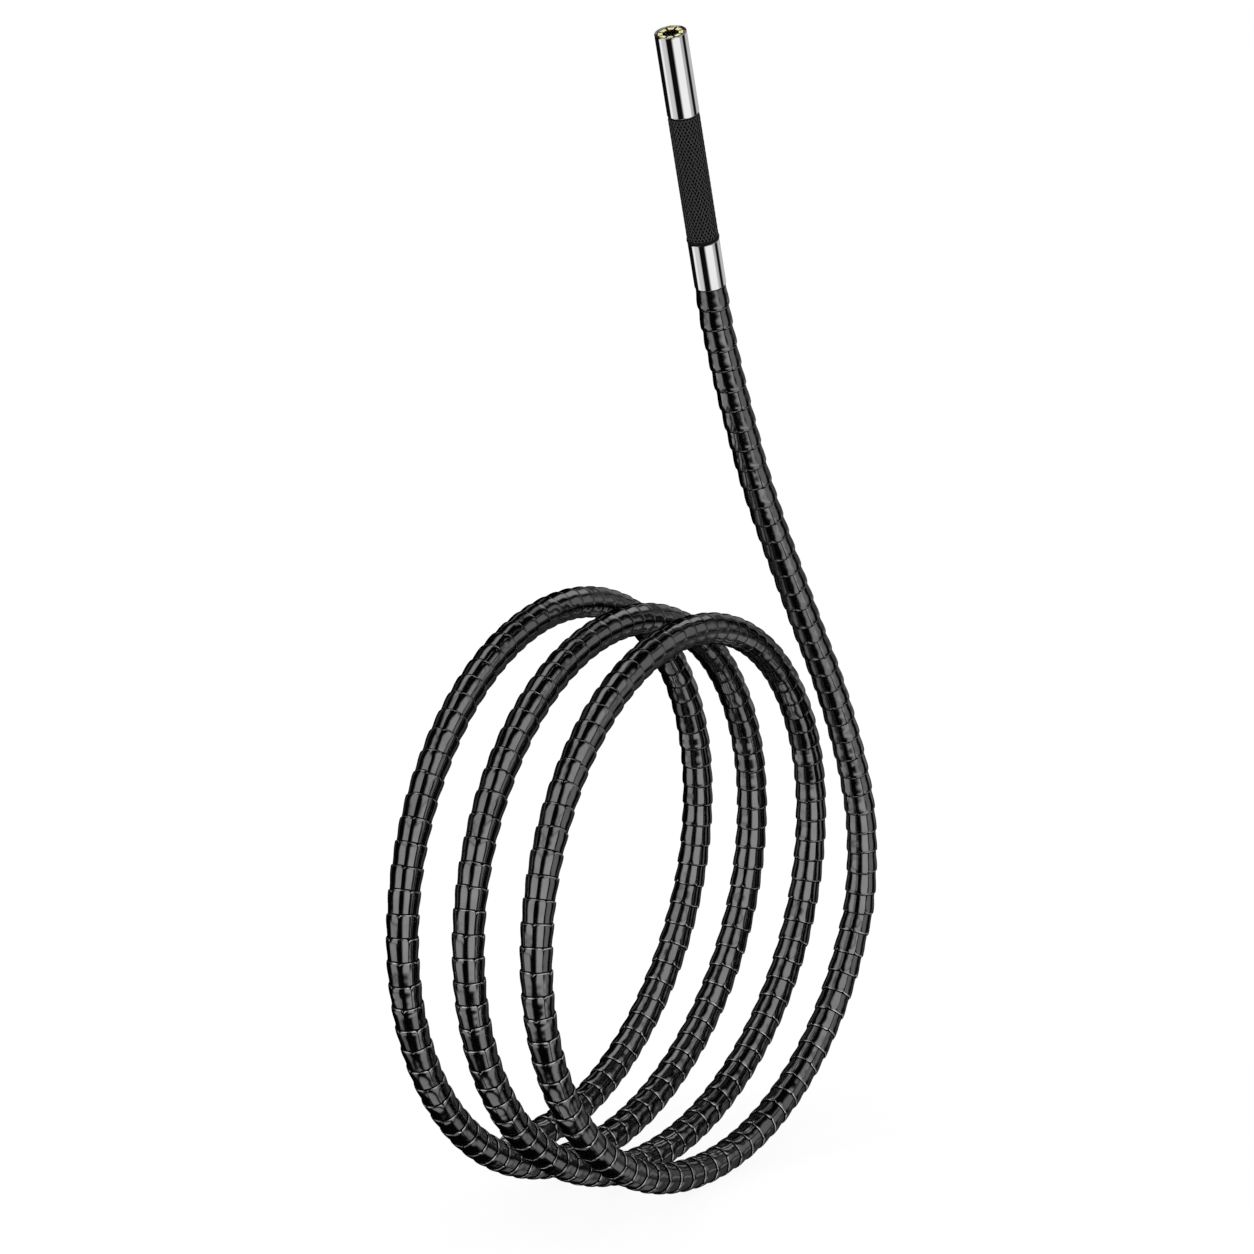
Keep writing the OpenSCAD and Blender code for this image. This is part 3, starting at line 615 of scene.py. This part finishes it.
bezel_gold = turned(
    "bezel_gold", "gold",
    [(3.28, WINDOW_BACK + 0.01), (3.48, WINDOW_BACK + 0.01), (3.48, FACE - 0.04),
     (3.28, FACE - 0.08)],
    on_head, 0.05, 128)
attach(bezel_gold, "camera_head")
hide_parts("bezel_ring")


def window(sides):
    """The front window, a flat round pane with bevelled edges."""
    angles = np.linspace(0, 2 * math.pi, sides, endpoint=False)
    rows = [(WINDOW_RADIUS - WINDOW_SOFT, WINDOW_BACK + 0.01),
            (WINDOW_RADIUS, WINDOW_BACK + 0.05),
            (WINDOW_RADIUS, FACE - 0.1),
            (WINDOW_RADIUS - WINDOW_SOFT, FACE - 0.06)]
    points = [(r * math.cos(a), r * math.sin(a), z) for r, z in rows for a in angles]
    faces = grid_faces(len(rows), sides, cap_ends=True)
    return piece("window_pane", "window_glass", points, faces, on_head)


window_pane = window(96)
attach(window_pane, "camera_head")
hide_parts("front_window")

lamp_bodies = lamp_pads(
    "lamp_bodies", "lamp_phosphor", LAMP_TURNS, LAMP_NEAR, LAMP_FAR, LAMP_SPREAD,
    LAMP_LOW, LAMP_SEAM, 0.03, look=LAMP_BODY)
# The phosphor tops carry the painted glow of the lamp_phosphor shader
lamp_phosphors = lamp_pads(
    "lamp_phosphors", "lamp_phosphor", LAMP_TURNS, LAMP_NEAR + PHOSPHOR_INSET,
    LAMP_FAR - PHOSPHOR_INSET, PHOSPHOR_SPREAD, LAMP_SEAM - 0.01, LAMP_HIGH, 0.045)
for made in (lamp_bodies, lamp_phosphors):
    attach(made, "camera_head")
    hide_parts("lamp_chips")


# ---- Braided sleeve over the bending section ----

SLEEVE_START = FERRULE_LENGTH + 0.6
SLEEVE_END = 45.55
# Yarns each way round the head's axis, and the radius of their middle
YARNS = 28
YARN_STEP = 2 * math.pi / YARNS
YARN_RADIUS = 3.75
# Turn of a yarn for each millimetre along the axis, and how far it weaves in and out
YARN_SLOPE = math.tan(math.radians(27.7)) / YARN_RADIUS
YARN_WAVE = 0.08
YARN_HALF_WIDTH = 0.145
YARN_HALF_THICKNESS = 0.08
YARN_SIDES = 6
# Rings of points along each stretch of a yarn
YARN_RINGS = 17
# The side that faces out, which gets a lit copy of the yarn's colour as a painted highlight; the
# other sides get a painted shade
YARN_CREST = 1
# The yarns draw in over this length where they go under the barrel
TUCK_LENGTH = 0.7
TUCK_DEPTH = 0.13
# Length of the stretches of the tubes inside
TUBE_STEP = 0.55


def segment(k, first, last):
    """Start and end along the head's axis of the stretch that bends at hinge k."""
    middle = HINGE_FIRST + (k - 1) * HINGE_PITCH
    low = first if k == 1 else middle - HINGE_PITCH / 2
    high = last if k == HINGES else middle + HINGE_PITCH / 2
    return low, high


def bend(made, k, node):
    """The piece's placement is baked into its mesh and the CAD node it replaces is hidden. The ends
    of hinge k are worked out but not used.
    """
    middle = HINGE_FIRST + (k - 1) * HINGE_PITCH
    ends = [on_head([(0, 0, middle + side * HINGE_PITCH / 2)])[0] * MM for side in (-1, 1)]
    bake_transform(made)
    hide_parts(node)


def yarn(j, way, heights):
    """Rings of points along one yarn, which goes over two of the others and under two."""
    turned_by = YARN_SLOPE * (heights - SLEEVE_START)
    turn = j * YARN_STEP + way * turned_by
    order = 2 * j + way * (2 * turned_by) / YARN_STEP
    level = way * np.clip(1.5 * np.cos(math.pi / 2 * (order + 0.5)), -1, 1)
    tucked = np.clip((heights - SLEEVE_END + TUCK_LENGTH) / TUCK_LENGTH, 0, 1) ** 2
    radius = YARN_RADIUS + YARN_WAVE * level - TUCK_DEPTH * tucked
    up = np.array([0, 0, 1.0])
    out = np.stack([np.cos(turn), np.sin(turn), 0 * turn], axis=-1)
    around = np.stack([-np.sin(turn), np.cos(turn), 0 * turn], axis=-1)
    middle = radius[:, None] * out + heights[:, None] * up
    side = np.cross(unit(way * YARN_SLOPE * radius[:, None] * around + up), out)
    spin = np.linspace(0, 2 * math.pi, YARN_SIDES, endpoint=False)
    return (middle[:, None, :]
            + YARN_HALF_WIDTH * np.cos(spin)[None, :, None] * side[:, None, :]
            + YARN_HALF_THICKNESS * np.sin(spin)[None, :, None] * out[:, None, :])


def braid(k):
    """The stretch of the braided sleeve at hinge k."""
    heights = np.linspace(*segment(k, SLEEVE_START, SLEEVE_END), YARN_RINGS)
    # The crest's faces take the painted highlight, the other faces the painted shade
    ring_shades = [0 if side == YARN_CREST else 1 for side in range(YARN_SIDES)]
    points, faces, shades = [], [], []
    for way in (1, -1):
        for j in range(YARNS):
            rings = yarn(j, way, heights)
            faces += grid_faces(len(rings), YARN_SIDES, len(points), cap_ends=True)
            shades += ring_shades * (len(rings) - 1) + [1, 1]
            points += rings.reshape(-1, 3).tolist()
    made = piece(f"braid_{k}", "braid", points, faces, on_head, shades, sharp=60)
    made.data.materials.append(BRAID_PAINTED_SHADE)
    bend(made, k, "braided_sleeve")


def tube_rows(low, high, outer, inner, sides):
    """A tube along the head's axis with enough rings to bend."""
    heights = np.linspace(low, high, max(2, int(round((high - low) / TUBE_STEP)) + 1))
    angle = np.linspace(0, 2 * math.pi, sides, endpoint=False)
    rows = [(outer, z) for z in heights] + ([(inner, z) for z in heights[::-1]] if inner else [])
    return np.array([[(r * math.cos(a), r * math.sin(a), z) for a in angle] for r, z in rows])


def bending_tube(name, slot, node, k, first, last, outer, inner=0, sides=32, shift=0):
    """The stretch at hinge k of a tube, or a rod, that lies beside the head's axis."""
    rows = tube_rows(*segment(k, first, last), outer, inner, sides) + np.array([shift, 0, 0])
    faces = grid_faces(len(rows), sides, close_rows=bool(inner), cap_ends=not inner)
    bend(piece(name, slot, rows, faces, on_head), k, node)


for k in range(1, HINGES + 1):
    braid(k)
    bending_tube(f"boot_skin_{k}", "black_rubber", "rubber_boot", k,
                 FERRULE_LENGTH + 0.05, BARREL_START - 0.02, 3.585, 3.42, sides=64)
    bending_tube(f"harness_skin_{k}", "harness", "camera_harness", k, -6, 50.0, 1.19)
    for side, word in ((-1, "left"), (1, "right")):
        bending_tube(f"wire_{word}_{k}", "wire", f"pull_wire_{word}", k,
                     -6, 44.9, 0.2, sides=12, shift=side * 1.82)

bead_roll = turned(
    "bead_roll", "braid",
    [(3.6, 12.22), (3.82, 12.22), (3.97, 12.36), (4.05, 12.7), (3.98, 13.02), (3.84, 13.18),
     (3.6, 13.18)], on_head, 0.1, 160, look=BEAD)
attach(bead_roll, "gooseneck")
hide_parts("sleeve_bead")


# ---- Floor, world and lamp ----

FLOOR_HALF = 3.0
# Just under the part's lowest point, so that the two don't share a plane
FLOOR_HEIGHT = -0.0001
FLOOR_GLOW = 0.92
# How much of a shadow the camera sees on the floor
FLOOR_SEEN = (0.1, 0.1, 0.1, 1)
FLOOR_COLOUR = (0.8, 0.8, 0.8, 1)


def white_floor():
    """White with a faint shadow to the camera, and plain matt white to the other rays."""
    made = bpy.data.materials.new("white_floor")
    made.use_nodes = True
    nodes, links = made.node_tree.nodes, made.node_tree.links
    nodes.clear()
    glow = nodes.new("ShaderNodeEmission")
    glow.inputs["Strength"].default_value = FLOOR_GLOW
    faint = nodes.new("ShaderNodeBsdfDiffuse")
    faint.inputs["Color"].default_value = FLOOR_SEEN
    seen = nodes.new("ShaderNodeAddShader")
    plain = nodes.new("ShaderNodeBsdfDiffuse")
    plain.inputs["Color"].default_value = FLOOR_COLOUR
    choice = nodes.new("ShaderNodeMixShader")
    rays = nodes.new("ShaderNodeLightPath")
    target = nodes.new("ShaderNodeOutputMaterial")
    links.new(glow.outputs[0], seen.inputs[0])
    links.new(faint.outputs[0], seen.inputs[1])
    links.new(rays.outputs["Is Camera Ray"], choice.inputs[0])
    links.new(plain.outputs[0], choice.inputs[1])
    links.new(seen.outputs[0], choice.inputs[2])
    links.new(choice.outputs[0], target.inputs["Surface"])
    return made


corners = ((-1, -1), (1, -1), (1, 1), (-1, 1))
floor_mesh = bpy.data.meshes.new("floor")
floor_mesh.from_pydata(
    [(x * FLOOR_HALF, y * FLOOR_HALF, FLOOR_HEIGHT) for x, y in corners], [], [(0, 1, 2, 3)])
floor_mesh.materials.append(white_floor())
floor = bpy.data.objects.new("floor", floor_mesh)
floor.visible_glossy = False
bpy.context.scene.collection.objects.link(floor)

# The studio that the metal shows, as soft-edged white panels in a black room. Each has its
# sides as azimuths to the right of the camera and their softness, its bottom and top as
# elevations and their softness, all in degrees, and its brightness.
PANELS = [
    # Left stripe, from low to high
    (-100, -66, 6, -60, -42, 4, 0.3),
    (-92, -50, 6, -46, -30, 3, 0.62),
    (-88, -46, 5, -30, -11, 4, 0.75),
    (-76, -36, 5, -11, 26, 4, 0.85),
    (-86, -32, 7, 26, 56, 5, 0.72),
    (-105, -60, 8, 56, 76, 4, 0.65),
    (-180, -105, 6, 56, 76, 4, 0.8),
    (160, 180, 4, 52, 70, 4, 0.6),
    # Middle stripe
    (30, 78, 8, -58, -20, 5, 0.62),
    (3, 46, 6, -28, 24, 4, 0.92),
    (15, 76, 8, 24, 58, 5, 0.8),
    (76, 90, 6, 22, 56, 5, 0.6),
    (60, 90, 4, -24, 20, 4, 0.4),
    # The floor, which the rims of the rings show
    (-105, 66, 6, -90, -68, 4, 0.6),
    # Right and behind
    (84, 108, 8, -64, -38, 5, 0.45),
    (104, 126, 8, -48, -26, 5, 0.5),
    (130, 166, 6, -54, -42, 4, 0.45),
    (90, 121, 4, -1, 40, 5, 0.38),
    (138, 163, 6, 28, 48, 3, 0.95),
    (138, 172, 6, 50, 62, 3, 0.45),
    (150, 175, 5, 6, 22, 4, 0.6),
    (-176, -160, 4, 28, 35, 3, 0.4),
    (124, 150, 6, -4, 16, 4, 0.25),
    (128, 152, 5, -17, -7, 3, 0.28),
    (112, 168, 6, -48, 28, 6, 0.14),
    (-146, -128, 5, -10, 40, 5, 0.1),
]
# The same round the head's axis, at the height that the chrome shows
HEAD_PANELS = [
    (-101, -79, 3, -27, -22, 1, 0.88),
    (-64, -44, 3, -27, -22, 1, 0.5),
    (0, 60, 9, -27, -22, 1, 0.9),
    (60, 75, 8, -27, -22, 1, 0.5),
    (109, 165, 5, -27, -22, 1, 0.5),
]
DARKEST = 0.004
WHITE = (1, 1, 1, 1)
# The light that falls on matt surfaces
FILL = (0.88, 0.88, 0.88, 1)

world = bpy.data.worlds.new("studio")
bpy.context.scene.world = world
world.use_nodes = True
world.cycles.sampling_method = "NONE"
world.node_tree.nodes.clear()


def node(kind, **values):
    """A new node of the world, with these settings."""
    made = world.node_tree.nodes.new(kind)
    for key, value in values.items():
        setattr(made, key, value)
    return made


def feed(socket, value):
    """The socket takes a number, a colour or another node's output."""
    if isinstance(value, (int, float, tuple)):
        socket.default_value = value
    else:
        world.node_tree.links.new(value, socket)


def math_node(operation, a, b):
    """The result of a sum on two numbers or outputs."""
    made = node("ShaderNodeMath", operation=operation)
    feed(made.inputs[0], a)
    feed(made.inputs[1], b)
    return made.outputs[0]


def mix(factor, otherwise, chosen):
    """One colour where the factor is 0, and the other where it is 1."""
    made = node("ShaderNodeMix", data_type="RGBA")
    feed(made.inputs["Factor"], factor)
    feed(made.inputs["A"], otherwise)
    feed(made.inputs["B"], chosen)
    return made.outputs["Result"]


def along(axis):
    """How far the direction of the ray goes along an axis."""
    made = node("ShaderNodeVectorMath", operation="DOT_PRODUCT")
    feed(made.inputs[0], direction)
    feed(made.inputs[1], tuple(axis))
    return made.outputs["Value"]


def angles_round(axis):
    """The ray's azimuth round an axis, to the right of the camera, and its elevation."""
    axis = Vector(axis).normalized()
    front = (to_camera - axis * to_camera.dot(axis)).normalized()
    azimuth = math_node("ARCTAN2", along(axis.cross(front)), along(front))
    return azimuth, math_node("ARCSINE", along(axis), 0)


def edge(angle, place, soft):
    """0 below this angle, in degrees, and 1 above it."""
    made = node("ShaderNodeMapRange", interpolation_type="SMOOTHSTEP")
    made.inputs["From Min"].default_value = math.radians(place - soft) - 1e-4
    made.inputs["From Max"].default_value = math.radians(place + soft)
    feed(made.inputs["Value"], angle)
    return made.outputs["Result"]


def between(angle, low, high, soft):
    """1 between two angles and 0 outside them."""
    return math_node("SUBTRACT", edge(angle, low, soft), edge(angle, high, soft))


def studio_light(groups):
    """The brightest of all the panels at the ray's direction."""
    studio = DARKEST
    for axis, panels in groups:
        azimuth, elevation = angles_round(axis)
        for left, right, side_soft, low, high, end_soft, level in panels:
            across = between(azimuth, left, right, side_soft)
            upright = between(elevation, low, high, end_soft)
            shown = math_node("MULTIPLY", math_node("MULTIPLY", across, upright), level)
            studio = math_node("MAXIMUM", shown, studio)
    return studio


direction = node("ShaderNodeTexCoord").outputs["Generated"]
studio = studio_light((((0, 0, 1), PANELS), (tuple(HEAD_Z), HEAD_PANELS)))
# Seen straight or through glass, the world is white. Metal shows the studio, also when its
# reflection comes through glass. The rest is the light that falls on matt surfaces.
rays = node("ShaderNodeLightPath").outputs
mirrored = math_node("MINIMUM", rays["Glossy Depth"], 1)
through = math_node("MULTIPLY", rays["Is Transmission Ray"], mirrored)
metal = math_node("MAXIMUM", rays["Is Glossy Ray"], through)
straight = math_node("SUBTRACT", rays["Is Transmission Ray"], through)
clear = math_node("MAXIMUM", rays["Is Camera Ray"], straight)
background = node("ShaderNodeBackground")
feed(background.inputs["Color"], mix(clear, mix(metal, FILL, studio), WHITE))
feed(node("ShaderNodeOutputWorld").inputs["Surface"], background.outputs[0])

LAMP_SIZE = 0.3
LAMP_POWER = 1.2
LAMP_DISTANCE = 1.0
lamp_side = Vector((-0.85, -0.35, 0.85)).normalized()
lamp = bpy.data.objects.new("soft_lamp", bpy.data.lights.new("soft_lamp", "AREA"))
lamp.data.size = LAMP_SIZE
lamp.data.energy = LAMP_POWER
lamp.visible_glossy = False
lamp.location = CAMERA_TARGET + lamp_side * LAMP_DISTANCE
lamp.rotation_euler = lamp_side.to_track_quat("Z", "Y").to_euler()
bpy.context.scene.collection.objects.link(lamp)
